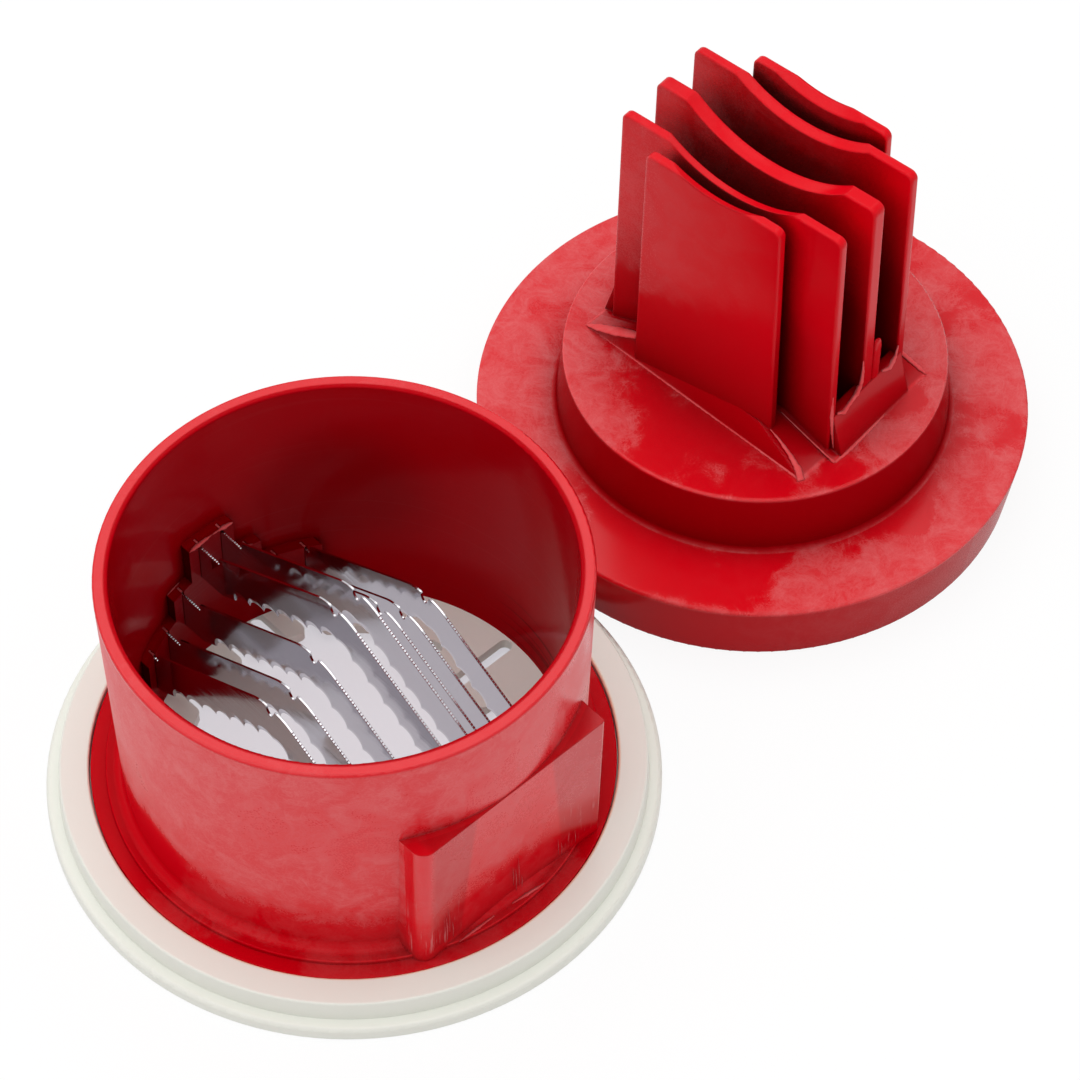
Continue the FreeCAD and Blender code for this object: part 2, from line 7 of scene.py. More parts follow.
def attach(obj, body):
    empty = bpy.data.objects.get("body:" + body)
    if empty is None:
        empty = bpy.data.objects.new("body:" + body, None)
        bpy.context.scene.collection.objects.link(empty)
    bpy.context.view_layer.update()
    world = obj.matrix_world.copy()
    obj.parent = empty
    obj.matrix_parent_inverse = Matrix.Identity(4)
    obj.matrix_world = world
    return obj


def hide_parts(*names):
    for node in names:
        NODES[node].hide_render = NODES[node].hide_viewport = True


# Looks of a fruit slicer: a red cup with serrated blades in an ivory ring, and a finned red plunger.
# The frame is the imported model's, in metres: +Z up, the cup's axis is Z and its blades run along X.
# Materials are laid out in metres. The outlines of blades and flash are in mm.

MM = 0.001

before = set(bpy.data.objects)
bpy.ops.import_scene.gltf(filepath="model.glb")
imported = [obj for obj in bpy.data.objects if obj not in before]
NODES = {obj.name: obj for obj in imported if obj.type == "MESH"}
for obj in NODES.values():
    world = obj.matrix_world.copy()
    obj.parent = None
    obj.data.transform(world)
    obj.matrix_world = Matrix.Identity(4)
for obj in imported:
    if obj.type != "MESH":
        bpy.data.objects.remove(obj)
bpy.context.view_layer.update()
BLADES = [f"blade_{i}" for i in range(1, 9)]


def add_object(name, data):
    """Puts a mesh, a lamp or a camera into the scene."""
    made = bpy.data.objects.new(name, data)
    bpy.context.scene.collection.objects.link(made)
    return made


def add_mesh(name, vertices, faces, material, smooth=False):
    mesh = bpy.data.meshes.new(name)
    mesh.from_pydata(vertices, [], faces)
    if smooth:
        mesh.shade_smooth()
    mesh.materials.append(material)
    return add_object(name, mesh)


# Camera, fitted to the circles of the cup, the ring and the plunger

TARGET = Vector((-18.4, 68.75, 0.0)) * MM
CAMERA_AZIMUTH = math.radians(-43.59)
CAMERA_ELEVATION = math.radians(52.17)
CAMERA_DISTANCE = 895.4 * MM
CAMERA_ROLL = math.radians(0.49)
SENSOR_WIDTH = 36.0
IMAGE_SIDE = 1080
FOCAL_PIXELS = 4229.8
CLIP_START = 0.05
CLIP_END = 20


def make_camera():
    level = math.cos(CAMERA_ELEVATION)
    back = Vector((
        level * math.cos(CAMERA_AZIMUTH),
        level * math.sin(CAMERA_AZIMUTH),
        math.sin(CAMERA_ELEVATION),
    ))
    right = Vector((0, 0, 1)).cross(back).normalized()
    up = back.cross(right)
    turned_right = right * math.cos(CAMERA_ROLL) + up * math.sin(CAMERA_ROLL)
    turned_up = up * math.cos(CAMERA_ROLL) - right * math.sin(CAMERA_ROLL)
    data = bpy.data.cameras.new("camera")
    data.sensor_width = SENSOR_WIDTH
    data.lens = FOCAL_PIXELS / IMAGE_SIDE * SENSOR_WIDTH
    data.clip_start = CLIP_START
    data.clip_end = CLIP_END
    camera = add_object("camera", data)
    turn = Matrix((turned_right, turned_up, back)).transposed().to_4x4()
    camera.matrix_world = Matrix.Translation(TARGET + back * CAMERA_DISTANCE) @ turn
    bpy.context.scene.camera = camera


# Materials: the middle of a noise and the range of most of it, the share of a spot's reach that has its
# full amount, and the samples of soft edges and hollows

NOISE_MIDDLE = 0.5
NOISE_SPREAD = (0.3, 0.7)
NEAR_FULL = 0.35
SOFT_SAMPLES = 4

# The direction to the right in the camera's picture, and how far up a surface faces to count as level

RIGHTWARD = (0.69, 0.72)
LEVEL = (0.5, 0.9)


class Shader:
    """A material's node tree, with short names for the nodes that the materials here use."""

    def __init__(self, name):
        self.material = bpy.data.materials.new(name)
        self.material.use_nodes = True
        self.tree = self.material.node_tree
        self.tree.nodes.clear()
        self.output = self.node("ShaderNodeOutputMaterial")
        coordinates = self.node("ShaderNodeTexCoord").outputs
        self.place = coordinates["Object"]
        self.facing = coordinates["Normal"]

    def node(self, kind, **values):
        made = self.tree.nodes.new(kind)
        for key, value in values.items():
            setattr(made, key, value)
        return made

    def link(self, source, target):
        self.tree.links.new(source, target)

    def put(self, value, socket):
        """Links a socket to an input, or sets the input to a plain value."""
        if isinstance(value, bpy.types.NodeSocket):
            self.link(value, socket)
        else:
            socket.default_value = value

    def fill(self, node, **inputs):
        """Puts values into a node's inputs by name, with _ for a space."""
        for key, value in inputs.items():
            self.put(value, node.inputs[key.replace("_", " ")])
        return node

    def stretched(self, scale):
        mapping = self.node("ShaderNodeMapping")
        return self.fill(mapping, Vector=self.place, Scale=scale).outputs["Vector"]

    def noise(self, scale, detail=4.0, roughness=0.5, distortion=0.0, vector=None):
        made = self.node("ShaderNodeTexNoise")
        self.fill(made, Vector=vector or self.place, Scale=scale, Detail=detail)
        return self.fill(made, Roughness=roughness, Distortion=distortion).outputs["Fac"]

    def ridges(self, scale, width, distortion):
        """Gives thin winding lines."""
        waves = self.noise(scale, detail=4, roughness=0.6, distortion=distortion)
        off = self.math("ABSOLUTE", self.minus(waves, NOISE_MIDDLE))
        return self.fade(off, 0.0, width)

    def math(self, operation, first, second=0.0):
        made = self.node("ShaderNodeMath", operation=operation)
        for socket, value in zip(made.inputs, (first, second)):
            self.put(value, socket)
        return made.outputs["Value"]

    def plus(self, first, second):
        return self.math("ADD", first, second)

    def minus(self, first, second):
        return self.math("SUBTRACT", first, second)

    def times(self, first, second):
        return self.math("MULTIPLY", first, second)

    def most(self, first, second):
        return self.math("MAXIMUM", first, second)

    def less(self, value, share):
        """Takes a share of a value away."""
        return self.times(value, self.minus(1.0, share))

    def between(self, value, low, high, out_low=0.0, out_high=1.0):
        """Goes softly from out_low to out_high as a value goes from low to high."""
        made = self.node("ShaderNodeMapRange", interpolation_type="SMOOTHSTEP")
        self.fill(made, Value=value, From_Min=low, From_Max=high, To_Min=out_low, To_Max=out_high)
        return made.outputs["Result"]

    def fade(self, value, low, high, full=1.0):
        """Goes softly from full to nothing as a value goes from low to high."""
        return self.between(value, low, high, full, 0.0)

    def blend(self, share, at_none, at_all):
        """Goes softly from one number to another as a share goes from 0 to 1."""
        return self.between(share, 0.0, 1.0, at_none, at_all)

    def mix_colour(self, share, first, second):
        made = self.node("ShaderNodeMix", data_type="RGBA")
        factor, first_input, second_input = (made.inputs[index] for index in (0, 6, 7))
        self.put(share, factor)
        for colour, socket in ((first, first_input), (second, second_input)):
            self.put(colour if isinstance(colour, bpy.types.NodeSocket) else (*colour, 1.0), socket)
        return made.outputs[2]

    def rounded(self, radius):
        """Gives normals that turn softly over edges, as on a moulding."""
        made = self.node("ShaderNodeBevel", samples=SOFT_SAMPLES)
        return self.fill(made, Radius=radius).outputs["Normal"]

    def bump(self, height, strength, distance, normal=None):
        made = self.node("ShaderNodeBump")
        self.fill(made, Height=height, Strength=strength, Distance=distance)
        if normal:
            self.link(normal, made.inputs["Normal"])
        return made.outputs["Normal"]

    def openness(self, reach, own):
        """Gives 1 where a surface is open to the room and less in hollows, its own only or any."""
        made = self.node("ShaderNodeAmbientOcclusion", samples=SOFT_SAMPLES, only_local=own)
        return self.fill(made, Distance=reach).outputs["AO"]

    def near(self, point, reach, amount):
        """Gives an amount at a point that fades out at its reach, both in metres."""
        away = self.node("ShaderNodeVectorMath", operation="DISTANCE")
        self.link(self.place, away.inputs[0])
        away.inputs[1].default_value = point
        return self.fade(away.outputs["Value"], reach * NEAR_FULL, reach, amount)

    def upward(self):
        """Gives 1 on a level surface that faces up, and 0 on a wall."""
        parts = self.node("ShaderNodeSeparateXYZ")
        self.link(self.facing, parts.inputs[0])
        return parts.outputs["Z"]

    def spot(self, centre=(0.0, 0.0)):
        """Gives a point's distance from an upright axis, and its place from there."""
        moved = self.node("ShaderNodeVectorMath", operation="SUBTRACT")
        self.link(self.place, moved.inputs[0])
        moved.inputs[1].default_value = (*centre, 0.0)
        parts = self.node("ShaderNodeSeparateXYZ")
        self.link(moved.outputs["Vector"], parts.inputs[0])
        x, y, z = parts.outputs
        away = self.math("SQRT", self.plus(self.times(x, x), self.times(y, y)))
        return away, x, y, z

    def rightward(self, x, y):
        """Gives how far to the right in the camera's picture a place lies, in metres."""
        return self.plus(self.times(x, RIGHTWARD[0]), self.times(y, RIGHTWARD[1]))

    def finish(self, surface):
        self.link(surface, self.output.inputs["Surface"])
        return self.material


# Red plastic: its colour in the open, its painted shade in hollows and painted light between the fins, and
# its pale film of scuffs

RED = (0.67, 0.0, 0.007)
RED_PAINTED_SHADE = (0.07, 0.0, 0.0)
RED_PAINTED_LIGHT_BETWEEN_FINS = (1.0, 0.0, 0.007)
RED_IOR = 1.47
FILM = (0.95, 0.80, 0.80)
FILM_STRENGTH = 0.085
HOLLOW_REACH = 0.05
RAGGED_PATCHES = 0.30
RAGGED_EDGE = 0.03
GRAIN_DEPTH = 0.00002
HAIR_DEPTH = 0.00003


class WearAndShading:
    """How the red plastic looks, each part of it a number or a socket.

    share is how much film there is, and marks are pale marks besides it. depth is how much of the colour
    there is, which also carries painted shade and painted light, and shine is how much gloss there is.
    Painted shade makes a hollow darkest where its openness is at shut, with its full colour at clear, and
    glow is painted light that brightens it. soft is the radius of the edges, in metres.
    """

    def __init__(self, share, depth=1.0, shine=1.0, marks=0.0, shut=0.20, clear=0.94,
                 glow=0.0, soft=0.0003):
        self.share = share
        self.depth = depth
        self.shine = shine
        self.marks = marks
        self.shut = shut
        self.clear = clear
        self.glow = glow
        self.soft = soft


def red_plastic(name, wear_and_shading, own=True):
    """Clear red, glossy where clean and pale and matt where scuffed, with painted shade and painted light,
    as the given scuffs and shading say for each place.
    """
    s = Shader(name)
    clouds = s.noise(32, detail=3, roughness=0.5)
    drifts = s.noise(120, detail=5, roughness=0.6, distortion=1.0)
    grain = s.noise(2600, detail=2)
    swirls = s.ridges(170, 0.045, distortion=1.6)
    fibres = s.ridges(430, 0.05, distortion=2.4)
    hairs = s.most(swirls, s.times(fibres, 0.8))
    ragged = s.times(s.minus(drifts, NOISE_MIDDLE), RAGGED_PATCHES)
    patches = s.plus(s.plus(clouds, ragged), s.times(hairs, 0.025))
    at = wear_and_shading(s, patches)
    # the film, thinner in hollows
    body = s.plus(s.between(drifts, 0.37, 0.65, 0.30, 0.88), s.times(hairs, 0.38))
    film = s.plus(s.times(at.share, body), at.marks)
    openness = s.openness(HOLLOW_REACH, own)
    film = s.times(film, s.between(openness, 0.15, 0.50, 0.35, 1.0))
    # the colour under it, with painted shade that darkens it in hollows and painted light that brightens it
    # between the fins
    light = s.times(s.between(openness, at.shut, at.clear), at.depth)
    glow = s.times(s.fade(openness, 0.45, 0.85), at.glow)
    lit = s.mix_colour(glow, RED, RED_PAINTED_LIGHT_BETWEEN_FINS)
    plain = s.mix_colour(light, RED_PAINTED_SHADE, lit)
    colour = s.mix_colour(s.times(film, FILM_STRENGTH), plain, FILM)
    # gloss and relief
    rough = s.plus(s.times(at.share, 0.26), s.between(grain, *NOISE_SPREAD, 0.12, 0.20))
    sheen = s.times(s.between(openness, 0.3, 1.0, 0.08, 0.36), at.shine)
    normal = s.bump(grain, 0.15, GRAIN_DEPTH, s.rounded(at.soft))
    normal = s.bump(s.times(hairs, at.share), 0.25, HAIR_DEPTH, normal)
    shader = s.node("ShaderNodeBsdfPrincipled")
    s.fill(shader, Base_Color=colour, Roughness=rough, Normal=normal, IOR=RED_IOR, Specular_IOR_Level=sheen)
    return s.finish(shader.outputs["BSDF"])


# Scuffs, painted light and painted shade on the cup: soft steps in metres, by distance from its axis, by
# height and by place across

CUP_OUTSIDE = (0.0455, 0.0462)
CUP_LANDS = (0.0425, 0.0430)
CUP_FILM_START = (0.017, 0.028)
CUP_FOOT = (0.016, 0.024)
CUP_FOOT_GLOSS = (0.010, 0.028)
CUP_LIP = (0.0675, 0.0686)
CUP_LIP_TOP = (0.0680, 0.0686)
PAD_OUTSIDE = (0.0484, 0.0488)
PAD_FOOT = (0.009, 0.011)
PAD_STREAKS = (0.012, 0.034)
PAD_TOP = (0.058, 0.062)
PAD_CORNER = (-0.0222, -0.0200)
RING_HEIGHT = (0.016, 0.022)
RING_ALONG = (-0.008, 0.006)
RING_ACROSS = (0.012, 0.026)

# Stretches of noise, in waves per metre along X, Y and Z: upright streaks and level lines

STREAKS = (1100, 1100, 60)
ARCS = (14, 14, 1500)
RINGS = (10, 10, 900)

# Amounts: how much cleaner places are than the rest, how much brighter painted light makes the pad's corner,
# and how much darker scratches, painted shade on the lands and a painted shadow make places

PAD_CLEANER = 0.35
PAD_CORNER_CLEANER = 0.8
PAD_CORNER_PAINTED_LIGHT = 0.30
ARC_MARKS = 0.06
RINGS_DARKER = 0.6
LANDS_SHADE = 0.35
FAR_WALL_SHADOW_DARKER = 0.36

# A painted shadow on the bore's far wall: its middle, in mm, and how far it reaches

FAR_WALL_SHADOW = (-35.2, 27.5, 36.2)
FAR_WALL_SHADOW_REACH = 27


def cup_wear_and_shading(s, patches):
    """Scuffs all over the cup's outside but its foot and the pad's soft corner, and hardly any inside;
    painted shade inside the bore, on the pad, on the lands and on the far wall, and painted light on the
    pad's corner.
    """
    away, x, y, z = s.spot()
    ragged = s.plus(z, s.times(s.minus(patches, NOISE_MIDDLE), RAGGED_EDGE))
    outside = s.between(away, *CUP_OUTSIDE)
    wall = s.times(outside, s.between(ragged, *CUP_FILM_START))
    wall = s.times(wall, s.between(z, *CUP_LIP, 1.0, 0.09))
    wall = s.times(wall, s.between(patches, 0.35, 0.52, 0.38, 1.06))
    # the key pad is cleaner, most of all at its corner and on its top
    on_pad = s.times(s.between(away, *PAD_OUTSIDE), s.between(z, *PAD_FOOT))
    wall = s.less(wall, s.times(on_pad, PAD_CLEANER))
    corner = s.times(on_pad, s.fade(y, *PAD_CORNER))
    wall = s.less(wall, s.times(corner, PAD_CORNER_CLEANER))
    pad_top = s.times(s.between(s.upward(), *LEVEL), s.fade(z, *PAD_TOP, 0.85))
    wall = s.less(wall, pad_top)
    spots = s.times(s.between(patches, 0.52, 0.60, 0.0, 0.25), s.blend(outside, 0.06, 1.0))
    share = s.most(wall, spots)
    # streaks down the pad, and level arcs inside
    streaks = s.noise(1.0, detail=5, roughness=0.7, vector=s.stretched(STREAKS))
    streaks = s.times(s.between(streaks, 0.56, 0.66, 0.0, 1.7), s.fade(z, *PAD_STREAKS))
    arcs = s.noise(1.0, detail=3, vector=s.stretched(ARCS))
    arcs = s.times(s.between(arcs, 0.62, 0.68), s.minus(1.0, outside))
    marks = s.plus(s.times(on_pad, streaks), s.times(arcs, ARC_MARKS))
    # painted shade makes the colour darker inside and on the pad, it is also darker at the foot and on the
    # lip, and painted light brightens the pad's corner
    depth = s.times(s.blend(outside, 0.64, 1.0), s.blend(on_pad, 1.0, 0.78))
    depth = s.plus(depth, s.times(corner, PAD_CORNER_PAINTED_LIGHT))
    depth = s.times(depth, s.between(z, *CUP_FOOT, 0.88, 1.0))
    depth = s.times(depth, s.between(z, *CUP_LIP_TOP, 1.0, 0.92))
    # thin dark rings low on the bore's far side, painted shade on the lands, and a painted shadow on the
    # bore's far wall
    low = s.times(s.fade(z, *RING_HEIGHT), s.between(x, *RING_ALONG))
    low = s.times(low, s.between(y, *RING_ACROSS))
    rings = s.noise(1.0, detail=2, vector=s.stretched(RINGS))
    rings = s.times(s.between(rings, 0.56, 0.62), s.times(low, RINGS_DARKER))
    inside = s.minus(1.0, outside)
    lands = s.times(s.fade(away, *CUP_LANDS), LANDS_SHADE)
    far_wall_shadow = s.near([v * MM for v in FAR_WALL_SHADOW], FAR_WALL_SHADOW_REACH * MM, FAR_WALL_SHADOW_DARKER)
    darker = s.times(s.most(s.most(rings, lands), far_wall_shadow), inside)
    depth = s.less(depth, darker)
    shine = s.times(s.blend(outside, 0.08, 1.0), s.between(z, *CUP_FOOT_GLOSS, 0.15, 1.0))
    # painted shade in hollows, set apart inside and outside the bore
    shut = s.blend(outside, 0.20, 0.10)
    clear = s.blend(outside, 0.94, 0.80)
    return WearAndShading(share, depth, shine, marks, shut, clear)


# Scuffs and painted light and shade on the plunger: its place, and soft steps in metres by distance from its
# axis, by height, and by place along and across its fins

PLUNGER_CENTRE = (-0.00735, 0.12018)
FIN_TURN = math.radians(7.0)
BY_BOSS_OUT = (0.0440, 0.0500)
BY_BOSS_IN = (0.0420, 0.0425)
BOSS_SIDE = (0.0425, 0.0430)
BOSS_FOOT = (0.0140, 0.0155)
BOSS_EDGE = (0.0295, 0.0302)
BOSS_FLAT_FROM = (0.0300, 0.0304)
BOSS_FLAT_TO = (0.0306, 0.0309)
BOSS_GLOSS = (0.0306, 0.0320)
DISC_INNER = (0.0418, 0.0430)
DISC_SIDE = (0.0560, 0.0563)
DISC_EDGE = (0.0148, 0.0154)
DISC_FLAT_FROM = (0.0150, 0.0156)
DISC_FLAT_TO = (0.0162, 0.0170)
DISC_SIDE_RIGHTWARD = (-0.025, 0.050)
FLATS_FADE = (0.034, 0.040)
LEFT_END = (-0.028, -0.010)
FIN_FILM_ALONG = (-0.030, 0.012)
FIN_FILM_START = (0.048, 0.066)
FIN_FILM_EDGE = (-0.001, 0.005)
FIN_FILM_LEFT = (-0.027, 0.0)
FIN_FILM_RIGHT = (0.006, 0.018)
SCOOP_ALONG = (-0.0275, -0.0205)
SCOOP_ACROSS = (-0.0137, -0.0133)
SCOOP_TOP = (0.0355, 0.0362)
FOOT_LINE_RADIUS = 0.0426
FOOT_LINE_WIDTH = (0.0001, 0.0005)
FIN_HEIGHTS = (0.036, 0.066)
BACK_ACROSS = (-0.010, 0.0)
BACK_HEIGHTS = (0.04, 0.05)
FIN_TOPS = (0.05, 0.06)
FIN_UPPER = (0.056, 0.072)
FIN_GLOW = (0.062, 0.076)
FIN_SOFTNESS = 0.0008

# Amounts: how much darker painted shade or brighter painted light makes places than the rest, and how dull
# the sides are

BOSS_SIDE_SHADE = 0.22
DISC_SIDE_SHADE = 0.12
FLATS_PAINTED_LIGHT = 0.34
SIDES_DULLER = 0.92

# Spots of the plunger's flats: along and across the fins, height and reach in mm, and how much more
# scuffed they are than the rest, or less

BOSS_TOP = 30.5
DISC_TOP = 15.8
PLUNGER_SPOTS = [
    (5, -29, BOSS_TOP, 14, -0.17),
    (34, -15, BOSS_TOP, 7, -0.14),
    (20, -25, BOSS_TOP, 11, -0.14),
    (-36, -5, BOSS_TOP, 12, 0.14),
    (37, 0, BOSS_TOP, 7, 0.14),
    (32, 9, BOSS_TOP, 6, -0.14),
    (27, 28, BOSS_TOP, 14, 0.14),
    (6, -53, DISC_TOP, 13, -0.17),
    (-18, -48, DISC_TOP, 9, -0.14),
    (20, -48, DISC_TOP, 9, -0.15),
    (31, -43, DISC_TOP, 9, -0.15),
    (37, -27, DISC_TOP, 5, 0.18),
    (43, -21, DISC_TOP, 4, -0.12),
    (50, -19, DISC_TOP, 5, 0.16),
    (46, -5, DISC_TOP, 7, -0.15),
    (48, 11, DISC_TOP, 9, 0.16),
    (-41, -29, DISC_TOP, 12, 0.15),
]


def plunger_place(along, across, height):
    """Turns a place on the plunger, in mm along and across its fins, into one in the frame."""
    x = PLUNGER_CENTRE[0] + (along * math.cos(FIN_TURN) - across * math.sin(FIN_TURN)) * MM
    y = PLUNGER_CENTRE[1] + (along * math.sin(FIN_TURN) + across * math.cos(FIN_TURN)) * MM
    return (x, y, height * MM)


def plunger_wear_and_shading(s, patches):
    """Scuffs on the disc's top, on the boss's top and on the upper half of the fins, pale film on the disc's
    side as a painted reflection, painted shade low on the fins, at their back and on the sides, and painted
    light on the tops and flats.
    """
    away, x, y, z = s.spot(PLUNGER_CENTRE)
    along = s.plus(s.times(x, math.cos(FIN_TURN)), s.times(y, math.sin(FIN_TURN)))
    across = s.minus(s.times(y, math.cos(FIN_TURN)), s.times(x, math.sin(FIN_TURN)))
    for place_along, place_across, height, reach, amount in PLUNGER_SPOTS:
        point = plunger_place(place_along, place_across, height)
        patches = s.plus(patches, s.near(point, reach * MM, amount))
    by_boss = s.times(s.fade(away, *BY_BOSS_OUT, 0.09), s.between(away, *BY_BOSS_IN))
    patches = s.minus(patches, by_boss)
    worn = s.between(patches, 0.40, 0.54, 0.04, 1.0)
    rim = s.times(s.between(away, *DISC_SIDE), s.fade(z, *DISC_EDGE))
    # the film on the disc's side grows to the right, a painted reflection of the bright floor
    side = s.times(rim, s.between(s.rightward(x, y), *DISC_SIDE_RIGHTWARD, 0.0, 0.45))
    left_end = s.fade(along, *LEFT_END)
    # the fins' film starts lower and is thicker on the left, where it is partly smears and partly a painted
    # reflection of the bright room
    above = s.minus(z, s.between(along, *FIN_FILM_ALONG, *FIN_FILM_START))
    above = s.plus(above, s.times(s.minus(patches, NOISE_MIDDLE), RAGGED_EDGE))
    fins = s.times(s.between(above, *FIN_FILM_EDGE), s.between(along, *FIN_FILM_LEFT, 0.38, 0.11))
    fins = s.times(fins, s.between(along, *FIN_FILM_RIGHT, 1.0, 0.2))
    fins = s.times(fins, s.between(patches, 0.35, 0.60, 0.5, 1.3))
    fins = s.times(fins, s.between(s.upward(), *LEVEL, 1.0, 0.35))
    # the flats of the disc and the boss
    flats = s.times(worn, s.between(z, *FLATS_FADE, 1.0, 0.15))
    low = s.times(s.between(away, *DISC_INNER), s.between(z, *DISC_FLAT_FROM))
    high = s.times(s.between(z, *BOSS_FLAT_FROM), s.fade(z, *BOSS_FLAT_TO))
    flats = s.times(flats, s.most(low, high))
    # the hip at the left end of the short fins' foot
    scoop = s.times(s.fade(along, *SCOOP_ALONG), s.between(z, *BOSS_FLAT_TO))
    scoop = s.times(scoop, s.fade(z, *SCOOP_TOP))
    scoop = s.times(scoop, s.fade(across, *SCOOP_ACROSS, 0.9))
    # a pale line along the boss's foot
    line = s.math("ABSOLUTE", s.minus(away, FOOT_LINE_RADIUS))
    line = s.times(s.fade(line, *FOOT_LINE_WIDTH), s.between(patches, 0.25, 0.50, 0.35, 1.0))
    line = s.times(line, low)
    share = s.most(s.most(flats, scoop), s.most(side, fins))
    share = s.most(share, line)
    # painted shade makes the colour darker low on the fins, at their back, and on the sides of the boss and
    # the disc, and painted light makes it lighter on the fins' level tops and on the flats of the disc and
    # the boss
    boss = s.times(s.fade(away, *BOSS_SIDE), s.fade(z, *BOSS_EDGE))
    boss = s.times(boss, s.between(z, *BOSS_FOOT))
    stem = s.between(z, *FIN_HEIGHTS, 0.68, 0.92)
    back = s.times(s.between(across, *BACK_ACROSS, 0.0, 0.22), left_end)
    stem = s.less(stem, s.times(back, s.between(z, *BACK_HEIGHTS)))
    tops = s.times(s.between(s.upward(), *LEVEL), s.between(z, *FIN_TOPS, 0.0, 0.20))
    stem = s.plus(stem, tops)
    depth = s.minus(stem, s.times(boss, BOSS_SIDE_SHADE))
    depth = s.minus(depth, s.times(rim, DISC_SIDE_SHADE))
    on_top = s.most(s.times(low, s.fade(z, *DISC_FLAT_TO)), high)
    depth = s.plus(depth, s.times(on_top, FLATS_PAINTED_LIGHT))
    shine = s.minus(1.0, s.times(s.most(rim, boss), SIDES_DULLER))
    shine = s.times(shine, s.between(z, *BOSS_GLOSS, 1.0, 0.35))
    # between the fins painted light lets the colour show some way down from their tops, with painted shade
    # below
    upper = s.between(z, *FIN_UPPER)
    shut = s.blend(upper, 0.20, 0.23)
    clear = s.blend(upper, 0.94, 0.56)
    return WearAndShading(share, depth, shine, 0.0, shut, clear, s.between(z, *FIN_GLOW), soft=FIN_SOFTNESS)


def flash_wear_and_shading(s, patches):
    """Scuffs all over, as flash is rough, with painted shade in its hollows; on the foot's strips the pale
    film is also a painted highlight on the ridges.
    """
    return WearAndShading(s.between(patches, 0.30, 0.60, 0.6, 1.0), shine=0.4, marks=0.45, shut=0.05, clear=0.75)


# Ivory, steel and the floor

IVORY_LIGHT = (0.76, 0.77, 0.705)
IVORY_DARK = (0.74, 0.74, 0.675)
IVORY_WARM = (0.90, 0.36, 0.10)
IVORY_FLOOR_PAINTED_LIGHT = (0.93, 0.935, 0.87)
IVORY_IOR = 1.5
RING_FLAT_RADIUS = (0.0534, 0.0540)
RING_FLAT_HEIGHT = (0.0074, 0.0077)
RING_FLOOR_RADIUS = (0.044, 0.046)
WARM_RIGHTWARD = (-0.055, -0.020)
WARM_STRENGTH = 0.5
STEEL = (0.54, 0.53, 0.56)
STEEL_LINES = (0.05, 1, 6)
FLOOR_GREY = (0.90, 0.90, 0.90)
FLOOR_WHITE = (1.0, 1.0, 1.0)
FLOOR_PAINTED_SHADE_IN_CUP = (0.86, 0.83, 0.89)
SHADED_RADIUS = 0.052
SHADED_FADE = 0.004


def ivory_plastic():
    """Smooth ivory, warmer on the ring's flat as if lit off the cup, and lighter on the ring's floor as
    painted light through the plastic.
    """
    s = Shader("ivory_plastic")
    clouds = s.noise(40, detail=4)
    grain = s.noise(1300, detail=3)
    colour = s.mix_colour(clouds, IVORY_LIGHT, IVORY_DARK)
    away, x, y, z = s.spot()
    warm = s.times(s.fade(away, *RING_FLAT_RADIUS), s.between(z, *RING_FLAT_HEIGHT))
    warm = s.times(warm, s.between(s.rightward(x, y), *WARM_RIGHTWARD, 0.3, 1.0))
    colour = s.mix_colour(s.times(warm, WARM_STRENGTH), colour, IVORY_WARM)
    # painted light: the ring's floor inside the cup is lighter, as if lit through the plastic
    colour = s.mix_colour(s.fade(away, *RING_FLOOR_RADIUS), colour, IVORY_FLOOR_PAINTED_LIGHT)
    rough = s.between(grain, *NOISE_SPREAD, 0.34, 0.46)
    shader = s.node("ShaderNodeBsdfPrincipled")
    normal = s.bump(grain, 0.2, GRAIN_DEPTH)
    s.fill(shader, Base_Color=colour, Roughness=rough, Normal=normal, IOR=IVORY_IOR)
    return s.finish(shader.outputs["BSDF"])


def blade_steel():
    """Polished steel with faint lines along the blades."""
    s = Shader("blade_steel")
    lines = s.noise(300, detail=5, vector=s.stretched(STEEL_LINES))
    rough = s.between(lines, *NOISE_SPREAD, 0.06, 0.16)
    shader = s.node("ShaderNodeBsdfPrincipled")
    s.fill(shader, Base_Color=(*STEEL, 1.0), Metallic=1.0, Roughness=rough)
    s.fill(shader, Normal=s.bump(lines, 0.1, GRAIN_DEPTH))
    return s.finish(shader.outputs["BSDF"])


def floor_white():
    """White to the camera, to gloss and through glass, with a share of the true shade so shadows stay, and a
    painted shade of lavender grey under the cup.
    """
    s = Shader("floor_white")
    diffuse = s.fill(s.node("ShaderNodeBsdfDiffuse"), Color=(*FLOOR_GREY, 1.0))
    rays = s.node("ShaderNodeLightPath").outputs
    seen = s.most(rays["Is Camera Ray"], rays["Is Glossy Ray"])
    seen = s.most(seen, rays["Is Transmission Ray"])
    mix = s.node("ShaderNodeMixShader")
    away = s.node("ShaderNodeVectorMath", operation="LENGTH")
    s.link(s.place, away.inputs[0])
    outside = s.between(away.outputs["Value"], SHADED_RADIUS, SHADED_RADIUS + SHADED_FADE)
    glow_share = s.blend(outside, 0.6, 0.9)
    # painted shade: the floor under the cup shows lavender grey in place of white
    white = s.mix_colour(outside, FLOOR_PAINTED_SHADE_IN_CUP, FLOOR_WHITE)
    glow = s.fill(s.node("ShaderNodeEmission"), Color=white, Strength=1.0)
    s.link(s.times(seen, glow_share), mix.inputs["Fac"])
    s.link(diffuse.outputs["BSDF"], mix.inputs[1])
    s.link(glow.outputs["Emission"], mix.inputs[2])
    return s.finish(mix.outputs["Shader"])


def paint(node, material):
    """Gives a CAD node its material in each of its slots."""
    slots = NODES[node].material_slots
    if not slots:
        NODES[node].data.materials.append(material)
    for slot in slots:
        slot.material = material


# Blades: strips with scalloped, ground lower edges, fine teeth on top and a hooked notch at the peak

